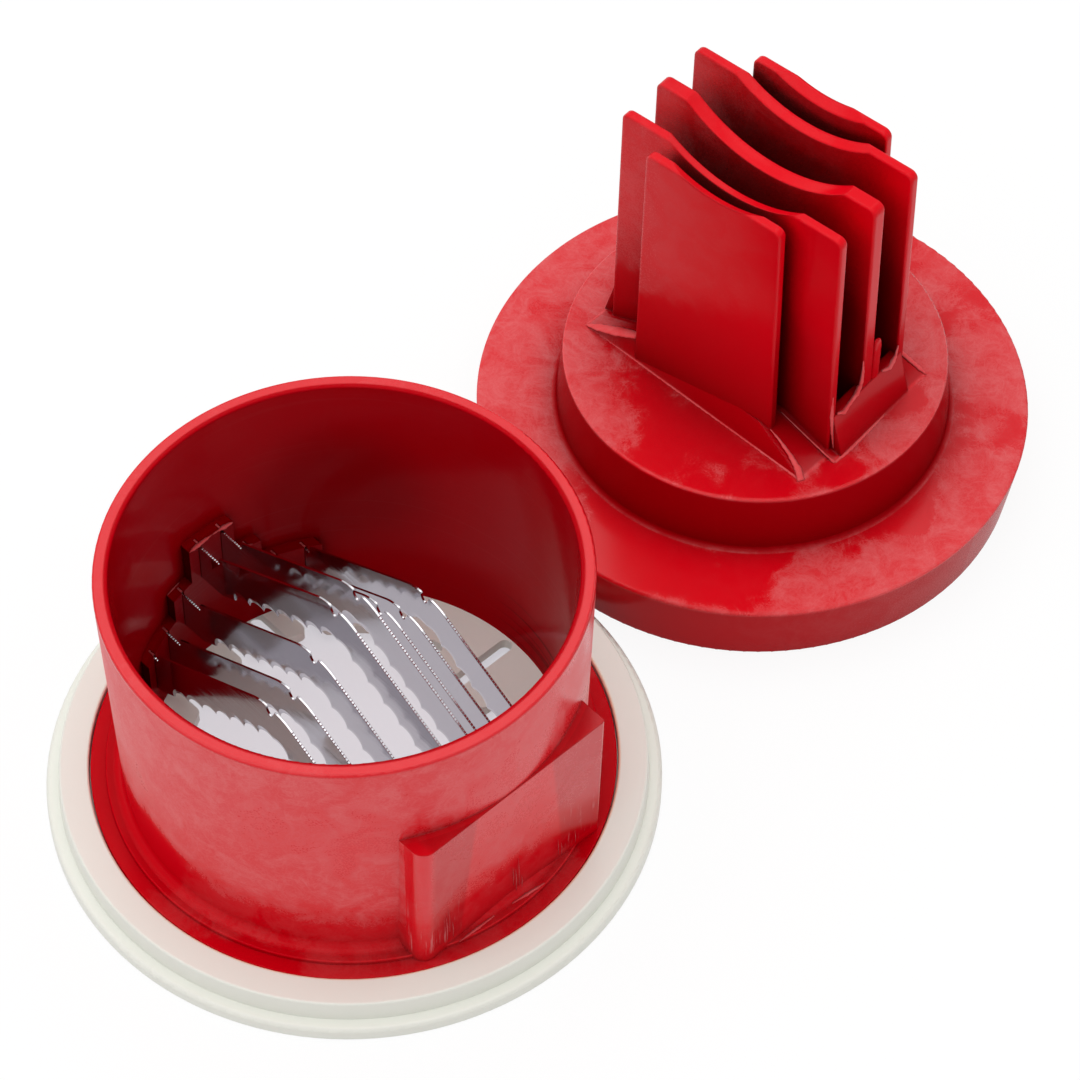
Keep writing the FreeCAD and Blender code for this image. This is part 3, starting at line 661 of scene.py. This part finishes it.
BLADE_PITCH = 5.76
BLADE_PEAKS = [42.3, 42.3, 48.8, 58.8, 58.8, 48.8, 42.3, 42.3]
MIDDLE_BLADE = (len(BLADE_PEAKS) - 1) / 2
SEAT_RADIUS = 43.5
HALF_THICKNESS = 0.25
BLADE_DEPTH = 10.0
ARM_RISE = 0.564
EDGE_HALF_LENGTH = 35.4
PEAK_HALF_WIDTH = 2.5
TAB_STEP = 1.4
TAB_DEPTH = 9.9

# Every edge is a little thinner than the strip, and softened inwards

EDGE_HALF_THICKNESS = 0.19
EDGE_SOFTNESS = 0.07

# Teeth on top: each is flat for most of its length; the gaps keep them off the corners

BEAD_PITCH = 0.62
BEAD_DEPTH = 0.10
TAB_BEAD_DEPTH = 0.025
BEAD_STOPS = ((0.0, 0.0), (0.6, 0.0), (0.8, 1.0))
TIP_GAP = 0.3
TAB_GAP = 0.2
TEETH_START_GAP = 0.3
TEETH_END_GAP = 0.4
ARM_CORNER = 0.05

# Notch at the peak: places from the middle, and drops from the peak

SHOULDER_START = 1.5
SHOULDER_END = 5.6
SHOULDER_STEPS = 8
NOTCH_START = 1.2
NOTCH_END = 1.35
NOTCH_END_DROP = 0.08
NOTCH_IN = ((-1.0, -0.12), (-1.12, -0.55), (-1.08, -1.0), (-0.86, -1.5), (-0.62, -1.85))
NOTCH_OUT = ((0.78, -1.2), (1.05, -0.6), (1.2, -0.2))
NOTCH_SOFTNESS = (0.06, 0.02)
NOTCH_CENTRE = -0.02
NOTCH_DEPTH = 1.72
NOTCH_RADIUS = 0.58
NOTCH_INNER_RADIUS = 0.64
NOTCH_TURNS = [math.radians(200 + 23 * i) for i in range(7)]

# Scallops below, with the ground edge of each

TOOTH_PITCH = 5.1
TOOTH_DEPTH = 1.4
SCALLOPS = 7
SCALLOP_STEPS = 12
GRIND_HEIGHT = 1.35
GRIND_WAVE = 0.1
GRIND_LEAN = 0.6
GROUND_HALF_THICKNESS = 0.03
LAST_STOP = (0.25, -0.1, 0.9, 1.1)
LAST_HALF_THICKNESS = 0.16
TAB_CORNER = (0.3, 3 * EDGE_SOFTNESS)
TAB_CORNER_HALF_THICKNESS = 0.2
TAB_CORNER_REACH = 0.2
TAB_START = (1.2, 1.3)
TINY = 0.001


def chord(radius, across):
    """Half the length of a circle's chord."""
    return math.sqrt(radius ** 2 - across ** 2)


def blade_place(number):
    return (number - MIDDLE_BLADE) * BLADE_PITCH


def tab_height(peak):
    """Height of the tabs at a blade's ends."""
    return peak - ARM_RISE * (EDGE_HALF_LENGTH - PEAK_HALF_WIDTH) - TAB_STEP


def edge_height(x, peak):
    """Height of a blade's top edge: level by the notch, rounded at the shoulder, then down the arm."""
    x = abs(x)
    shoulder = SHOULDER_END - SHOULDER_START
    if x >= SHOULDER_END:
        drop = ARM_RISE * (shoulder / 2 - (SHOULDER_END - PEAK_HALF_WIDTH))
        return peak - ARM_RISE * (x - PEAK_HALF_WIDTH) - drop
    if x <= SHOULDER_START:
        return peak
    return peak - ARM_RISE * (x - SHOULDER_START) ** 2 / (2 * shoulder)


def scallops(tip, tab_low):
    """Goes along a blade's lower edge from its middle to the +X tab."""
    cosine = 1 / math.sqrt(1 + ARM_RISE ** 2)
    sine = ARM_RISE * cosine
    radius = (TOOTH_PITCH ** 2 / 4 + TOOTH_DEPTH ** 2) / (2 * TOOTH_DEPTH)
    half_turn = math.asin(TOOTH_PITCH / 2 / radius)
    tab_start = (tip - tab_low) / ARM_RISE
    stops = []
    for k in range(SCALLOPS):
        for i in range(0 if k == 0 else 1, SCALLOP_STEPS + 1):
            turn = half_turn * (2 * i / SCALLOP_STEPS - 1)
            along = TOOTH_PITCH * (k + 0.5) + radius * math.sin(turn)
            rise = TOOTH_DEPTH - radius + radius * math.cos(turn)
            lift = GRIND_HEIGHT * (1 - GRIND_WAVE + GRIND_WAVE * math.cos(turn * 2))
            x = along * cosine + rise * sine
            z = tip - along * sine + rise * cosine
            stops.append((x, z, x + lift * sine * GRIND_LEAN, z + lift * cosine, GROUND_HALF_THICKNESS))
    x, z = stops[-1][:2]
    step_x, step_z, inner_x, inner_z = LAST_STOP
    stops.append((x + step_x, z + step_z, x + inner_x, z + inner_z, LAST_HALF_THICKNESS))
    # the scallops end where the tab starts
    stops = [stop for stop in stops if stop[1] > tab_low - TINY]
    if stops[-1][0] < tab_start - TAB_CORNER_REACH:
        inner = (tab_start + TAB_CORNER[0], tab_low + TAB_CORNER[1])
        stops.append((tab_start, tab_low, *inner, TAB_CORNER_HALF_THICKNESS))
    last = max(tab_start, stops[-1][0])
    inner = (last + TAB_START[1], tab_low + EDGE_SOFTNESS)
    stops.append((last + TAB_START[0], tab_low, *inner, EDGE_HALF_THICKNESS))
    return stops


def blade_outline(number):
    """Goes once round a blade; each stop is (x, z, inner x, inner z, half thickness at the edge), in mm."""
    peak = BLADE_PEAKS[number]
    place = blade_place(number)
    reach = chord(SEAT_RADIUS, place)
    tab_top = tab_height(peak)
    tab_low = tab_top - TAB_DEPTH
    stops = []

    def corner(x, z, right, up):
        """Adds a corner, softened towards the strip's inside."""
        stops.append((x, z, x + right * EDGE_SOFTNESS, z + up * EDGE_SOFTNESS, EDGE_HALF_THICKNESS))

    def top(x, z):
        corner(x, z, 0, -1)

    def level(_):
        return tab_top

    def arm(x):
        return edge_height(x, peak)

    def beads(start, end, height, depth):
        """Adds a row of fine teeth along the height that a function gives."""
        count = max(2, round(abs(end - start) / BEAD_PITCH))
        for i in range(count):
            for part, drop in BEAD_STOPS:
                x = start + (end - start) * (i + part) / count
                top(x, height(x) - drop * depth)
        top(end, height(end))

    # along the top, from the -X end
    corner(-reach, tab_top, 1, -1)
    beads(-reach + TIP_GAP, -EDGE_HALF_LENGTH - TAB_GAP, level, TAB_BEAD_DEPTH)
    top(-EDGE_HALF_LENGTH, tab_top)
    top(-EDGE_HALF_LENGTH + ARM_CORNER, arm(-EDGE_HALF_LENGTH + ARM_CORNER))
    top(-SHOULDER_END, arm(-SHOULDER_END))
    for i in range(1, SHOULDER_STEPS + 1):
        x = -SHOULDER_END + (SHOULDER_END - NOTCH_START) * i / SHOULDER_STEPS
        top(x, arm(x))
    # the hooked notch
    soft_x, soft_z = NOTCH_SOFTNESS
    for x, z in NOTCH_IN:
        stops.append((x, peak + z, x - soft_x, peak + z - soft_z, EDGE_HALF_THICKNESS))
    for turn in NOTCH_TURNS:
        x, inner_x = (NOTCH_CENTRE + r * math.cos(turn) for r in (NOTCH_RADIUS, NOTCH_INNER_RADIUS))
        z, inner_z = (peak - NOTCH_DEPTH + r * math.sin(turn) for r in (NOTCH_RADIUS, NOTCH_INNER_RADIUS))
        stops.append((x, z, inner_x, inner_z, EDGE_HALF_THICKNESS))
    for x, z in NOTCH_OUT:
        stops.append((x, peak + z, x + soft_x, peak + z - soft_z, EDGE_HALF_THICKNESS))
    for i in range(SHOULDER_STEPS + 1):
        x = NOTCH_END + (SHOULDER_END - NOTCH_END) * i / SHOULDER_STEPS
        top(x, arm(x) - (NOTCH_END_DROP if i == 0 else 0.0))
    beads(SHOULDER_END + TEETH_START_GAP, EDGE_HALF_LENGTH - TEETH_END_GAP, arm, BEAD_DEPTH)
    top(EDGE_HALF_LENGTH - ARM_CORNER, arm(EDGE_HALF_LENGTH - ARM_CORNER))
    top(EDGE_HALF_LENGTH, tab_top)
    beads(EDGE_HALF_LENGTH + TAB_GAP, reach - TIP_GAP, level, TAB_BEAD_DEPTH)
    corner(reach, tab_top, -1, -1)
    corner(reach, tab_low, -1, 1)

    # back along the scallops, which are the same on the -X side
    right = scallops(peak - BLADE_DEPTH, tab_low)
    stops.extend(reversed(right))
    stops.extend((-x, z, -inner_x, inner_z, edge) for x, z, inner_x, inner_z, edge in right[1:])
    corner(-reach, tab_low, 1, 1)
    return stops, place


def make_blade(number, material):
    """Makes a closed strip from four rings of a blade's outline: its two faces and their thinner edges."""
    stops, place = blade_outline(number)
    count = len(stops)
    vertices = []
    for inner, side in ((True, -1), (False, -1), (False, 1), (True, 1)):
        for x, z, inner_x, inner_z, edge in stops:
            if inner:
                vertices.append((inner_x * MM, (place + side * HALF_THICKNESS) * MM, inner_z * MM))
            else:
                vertices.append((x * MM, (place + side * edge) * MM, z * MM))
    faces = [tuple(range(count - 1, -1, -1)), tuple(range(3 * count, 4 * count))]
    for band in range(3):
        for i in range(count):
            after = (i + 1) % count
            low, high = band * count, (band + 1) * count
            faces.append((low + i, low + after, high + after, high + i))
    blade = add_mesh(f"serrated_blade_{number + 1}", vertices, faces, material)
    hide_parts(BLADES[number])
    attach(blade, "cup")


# Flash: thin ragged strips left by the mould, in mm; a stop is (place, half width, half thickness)

FLASH_STEP = 0.5
FLASH_SIDES = 8
STEEP = 0.9

# Ragged widths: waves as share, rate along the strip and shift from strip to strip, less on wide strips

WAVES = ((0.22, 2.3, 1), (0.14, 5.1, 2))
FULL_WAVES_WIDTH = 0.3

# Foot of the long fins: its crest's height and half length, and how far it drops over how long a run

CREST_HEIGHT = 36.1
CREST_HALF_LENGTH = 16.6
FOOT_DROP = 5.6
FOOT_RUN = 14.8


def foot_slope(along):
    """Height of the long fins' foot between its crest and its edge."""
    return CREST_HEIGHT - (abs(along) - CREST_HALF_LENGTH) * FOOT_DROP / FOOT_RUN


# the strips along the foot are ridges whose pale film is partly a painted highlight
FOOT_FLASH = [
    # along the near edge of the short fins' foot
    [((-31.5, -17.5, 30.5), 0.16, 0.12), ((-12, -18.9, 30.5), 0.24, 0.16), ((20, -21.1, 30.5), 0.25, 0.16),
     ((28.8, -21.7, 30.5), 0.45, 0.20)],
    # up its hip to the first fin
    [((28.9, -21.8, 30.5), 0.80, 0.25), ((27.2, -20.6, 31.7), 0.75, 0.35), ((24.2, -19.5, 32.9), 0.50, 0.28),
     ((20.6, -18.7, 34.4), 0.28, 0.18), ((18.0, -18.4, 35.4), 0.10, 0.08)],
    # up its hip at the other end
    [((-31.5, -17.5, 30.5), 0.30, 0.15), ((-28.5, -17.3, 31.8), 1.10, 0.32),
     ((-23.5, -16.9, 33.8), 1.50, 0.38), ((-18.4, -16.5, 35.9), 1.10, 0.30)],
    # where the second fin meets it
    [((17.2, -13.7, 35.95), 0.10, 0.08), ((24, -13.7, foot_slope(24)), 0.16, 0.12),
     ((29, -13.7, foot_slope(29)), 0.20, 0.14), ((31.3, -13.6, 30.55), 0.32, 0.18)],
    # along the right edge of the long fins' foot
    [((31.3, -13.5, 30.5), 0.30, 0.16), ((31.5, -9, 30.5), 0.55, 0.24), ((31.5, -3, 30.5), 0.45, 0.22),
     ((31.4, 3, 30.5), 0.20, 0.12)],
    # the far tip
    [((22, 16.8, 34.5), 0.20, 0.15), ((26, 17.1, 32.9), 0.60, 0.28), ((30, 17.4, 31.3), 0.50, 0.28),
     ((31.6, 17.5, 30.7), 0.22, 0.15)],
]
ROOT_FLASH = [
    # on the web between the second and the third fin, and up the third
    [((28.7, -10.3, 41.3), 0.25, 0.20), ((29.0, -8.6, 40.4), 0.60, 0.40), ((28.8, -6.3, 41.0), 0.45, 0.30),
     ((28.7, -4.0, 41.7), 0.55, 0.35), ((28.5, -2.3, 43.4), 0.60, 0.40), ((28.4, -1.9, 46.5), 0.40, 0.30),
     ((28.2, -1.8, 49.8), 0.15, 0.10)],
    # down the second fin's end
    [((28.3, -11.9, 47.5), 0.20, 0.10), ((28.5, -12.0, 42.0), 0.60, 0.22), ((28.8, -11.8, 37.0), 0.42, 0.25),
     ((29.4, -11.7, 32.0), 0.12, 0.12)],
    # on the web between the third and the fourth fin
    [((28.7, 4.8, 41.0), 0.25, 0.20), ((29.0, 7.0, 40.3), 0.55, 0.35), ((28.7, 9.3, 41.6), 0.45, 0.30),
     ((28.5, 10.3, 44.0), 0.20, 0.16)],
]
# a stub of web beside the third fin's end
STUB = [
    [((28.2, 2.9, 39.8), 1.45, 0.45), ((28.2, 2.9, 50.3), 1.42, 0.45), ((28.2, 2.8, 51.7), 1.20, 0.42),
     ((28.2, 2.5, 52.6), 0.70, 0.32)],
]

# Cup: its lands' inner edge and wall, and the fill over each blade end

LAND_RADIUS = 41.9
WALL_RADIUS = 44.3
TALL_LAND = 39.44
MIDDLE_LAND = 29.44
LAND_COVER = 0.6
FILL_START = 0.35
FILL_DROP = 0.28
FILL_HALF_SIZES = (0.30, 0.26)

# Scraps on the lands at the -X side: radius and height, then stops as place across and half width

SCRAP_FLATNESS = 0.45
LAND_SCRAPS = (
    (LAND_RADIUS, TALL_LAND, ((-5.7, 0.10), (-4.6, 0.45), (-3.2, 0.55), (-1.4, 0.42), (0.5, 0.12))),
    (LAND_RADIUS, TALL_LAND, ((0.5, 0.12), (2.4, 0.30), (3.3, 0.60), (4.6, 0.50), (5.7, 0.14))),
    (44.1, MIDDLE_LAND, ((-11.4, 0.12), (-9.4, 0.24), (-7.4, 0.12))),
    (42.0, MIDDLE_LAND, ((7.0, 0.10), (8.3, 0.60), (9.6, 0.14))),
)

# Key pad: its face at mid height, with the wall's draft

PAD_FACE = 47.2
PAD_MIDDLE = 27.0
DRAFT = math.radians(1.5)

# Drips down the pad: place across, lowest and highest point, and half width

PAD_DRIPS = (
    (-17.9, 12.0, 19.5, 0.16),
    (-17.2, 14.0, 22.0, 0.10),
    (-16.4, 11.5, 16.5, 0.14),
    (-0.4, 13.0, 19.0, 0.10),
    (0.3, 10.5, 17.5, 0.16),
    (1.1, 11.5, 20.5, 0.12),
    (1.8, 10.0, 14.0, 0.14),
    (11.6, 11.5, 16.5, 0.12),
    (12.5, 10.5, 14.5, 0.14),
    (16.2, 11.0, 15.0, 0.10),
)
DRIP_SWAY = 0.12
DRIP_LOW = (0.4, 0.03)
DRIP_MIDDLE = (1.0, 0.05)
DRIP_HIGH = (0.3, 0.03)

# Scars along the pad's foot

PAD_SCARS = [
    [((47.8, -15.0, 8.3), 0.12, 0.08), ((47.9, -10.5, 8.3), 0.35, 0.14), ((48.0, -6.0, 8.3), 0.16, 0.10)],
    [((48.3, -1.5, 8.3), 0.14, 0.08), ((48.7, 2.0, 8.3), 0.40, 0.15), ((49.2, 6.5, 8.3), 0.18, 0.10)],
]


def land_flash():
    """Gives the fill over each blade end, and ragged scraps on the lands' inner edges."""
    strips = []
    for number, peak in enumerate(BLADE_PEAKS):
        place = blade_place(number)
        top = tab_height(peak) + LAND_COVER
        near, far = (chord(radius, place) for radius in (LAND_RADIUS, WALL_RADIUS))
        for side in (-1, 1):
            ends = (side * (near + FILL_START), side * far)
            strips.append([((x, place, top - FILL_DROP), *FILL_HALF_SIZES) for x in ends])
    for radius, height, stops in LAND_SCRAPS:
        strips.append([((-chord(radius, across), across, height), width, width * SCRAP_FLATNESS)
                       for across, width in stops])
    return strips


def pad_face(height):
    """Gives the key pad's face at a height."""
    return PAD_FACE + (PAD_MIDDLE - height) * math.tan(DRAFT)


def pad_flash():
    """Gives thin drips down the key pad's face and a scar along its foot."""
    strips = []
    for across, low, high, width in PAD_DRIPS:
        strip = []
        for height, sway, (share, thickness) in (
            (low, 0.0, DRIP_LOW), ((low + high) / 2, DRIP_SWAY, DRIP_MIDDLE), (high, 0.0, DRIP_HIGH),
        ):
            strip.append(((pad_face(height), across + sway, height), width * share, thickness))
        strips.append(strip)
    return strips + PAD_SCARS


def flash_path(strip):
    """Goes along a strip in small steps, each with its place, half width and half thickness."""
    path = []
    for (start, width, depth), (end, next_width, next_depth) in zip(strip, strip[1:]):
        start, end = Vector(start), Vector(end)
        count = max(2, round((end - start).length / FLASH_STEP))
        for i in range(count):
            share = i / count
            path.append((start.lerp(end, share), width + (next_width - width) * share,
                         depth + (next_depth - depth) * share))
    path.append((Vector(strip[-1][0]), strip[-1][1], strip[-1][2]))
    return path


def raggedness(step, number, width):
    """Gives what a strip's width is multiplied by at a step; number tells the strips apart."""
    waves = sum(amount * math.sin(rate * step + shift * number) for amount, rate, shift in WAVES)
    return 1 + min(1.0, FULL_WAVES_WIDTH / width) * waves


def make_flash(name, body, strips, material, turned=None):
    """Makes closed tubes with ragged widths along the strips; turned brings a place into the frame."""
    vertices, faces = [], []
    for number, strip in enumerate(strips):
        path = flash_path(strip)
        first = len(vertices)
        for i, (place, width, depth) in enumerate(path):
            before, after = path[max(i - 1, 0)][0], path[min(i + 1, len(path) - 1)][0]
            forward = (after - before).normalized()
            level = Vector((0, 1, 0))
            if abs(forward.z) <= STEEP:
                level = forward.cross(Vector((0, 0, 1))).normalized()
            out = level.cross(forward).normalized()
            ragged = raggedness(i, number, width)
            for side in range(FLASH_SIDES):
                turn = 2 * math.pi * side / FLASH_SIDES
                point = place + level * (width * ragged * math.cos(turn)) + out * (depth * math.sin(turn))
                vertices.append(turned(*point) if turned else tuple(point * MM))
        for i in range(len(path) - 1):
            for side in range(FLASH_SIDES):
                low, high = first + i * FLASH_SIDES, first + (i + 1) * FLASH_SIDES
                after = (side + 1) % FLASH_SIDES
                faces.append((low + side, low + after, high + after, high + side))
        faces.append(tuple(range(first + FLASH_SIDES - 1, first - 1, -1)))
        faces.append(tuple(range(len(vertices) - FLASH_SIDES, len(vertices))))
    flash = add_mesh(name, vertices, faces, material, smooth=True)
    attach(flash, body)


# Stage: a white floor, a dim surround and one large lamp

FLOOR_HALF = 1.5
LOWEST = -0.0002
WORLD_WHITE = (1.0, 1.0, 1.0)
WORLD_LEVEL = 0.55
KEY_LEVEL = 1.5
KEY_HEIGHT = 1.3
KEY_RADIUS = 1.15
LIT_POINT = Vector((-0.15, -0.17, 0.0))


def make_floor():
    corners = [(-1, -1), (1, -1), (1, 1), (-1, 1)]
    vertices = [(x * FLOOR_HALF, y * FLOOR_HALF, LOWEST) for x, y in corners]
    floor = add_mesh("floor", vertices, [(0, 1, 2, 3)], floor_white())


def make_world():
    """A dim surround for the light on the object, and plain white to the camera and to gloss."""
    world = bpy.data.worlds.new("studio")
    world.use_nodes = True
    tree = world.node_tree
    background = tree.nodes["Background"]
    background.inputs["Color"].default_value = (*WORLD_WHITE, 1.0)
    rays = tree.nodes.new("ShaderNodeLightPath")
    seen = tree.nodes.new("ShaderNodeMath")
    seen.operation = "MAXIMUM"
    strength = tree.nodes.new("ShaderNodeMapRange")
    strength.inputs["To Min"].default_value = WORLD_LEVEL
    tree.links.new(rays.outputs["Is Camera Ray"], seen.inputs[0])
    tree.links.new(rays.outputs["Is Glossy Ray"], seen.inputs[1])
    tree.links.new(seen.outputs["Value"], strength.inputs["Value"])
    tree.links.new(strength.outputs["Result"], background.inputs["Strength"])
    bpy.context.scene.world = world


def make_key():
    """Hangs one large soft round lamp over the object; KEY_LEVEL is the brightness of its face."""
    data = bpy.data.lights.new("key", "AREA")
    data.shape = "DISK"
    data.size = 2 * KEY_RADIUS
    data.energy = KEY_LEVEL * math.pi * math.pi * KEY_RADIUS ** 2
    key = add_object("key", data)
    key.location = LIT_POINT + Vector((0, 0, KEY_HEIGHT))


make_camera()
make_floor()
make_world()
make_key()
cup_red = red_plastic("red_plastic_cup", cup_wear_and_shading)
plunger_red = red_plastic("red_plastic_plunger", plunger_wear_and_shading)
ivory = ivory_plastic()
flash_red = red_plastic("red_plastic_flash", flash_wear_and_shading, own=False)
steel = blade_steel()
paint("base_ring", ivory)
paint("blade_cup", cup_red)
paint("plunger", plunger_red)
for number, blade in enumerate(BLADES):
    paint(blade, steel)
    make_blade(number, steel)
make_flash("foot_flash", "plunger", FOOT_FLASH, flash_red, plunger_place)
make_flash("fin_root_flash", "plunger", ROOT_FLASH, flash_red, plunger_place)
make_flash("fin_web_stub", "plunger", STUB, plunger_red, plunger_place)
make_flash("land_flash", "cup", land_flash(), flash_red)
make_flash("pad_flash", "cup", pad_flash(), flash_red)
bpy.context.scene.view_settings.view_transform = "Standard"
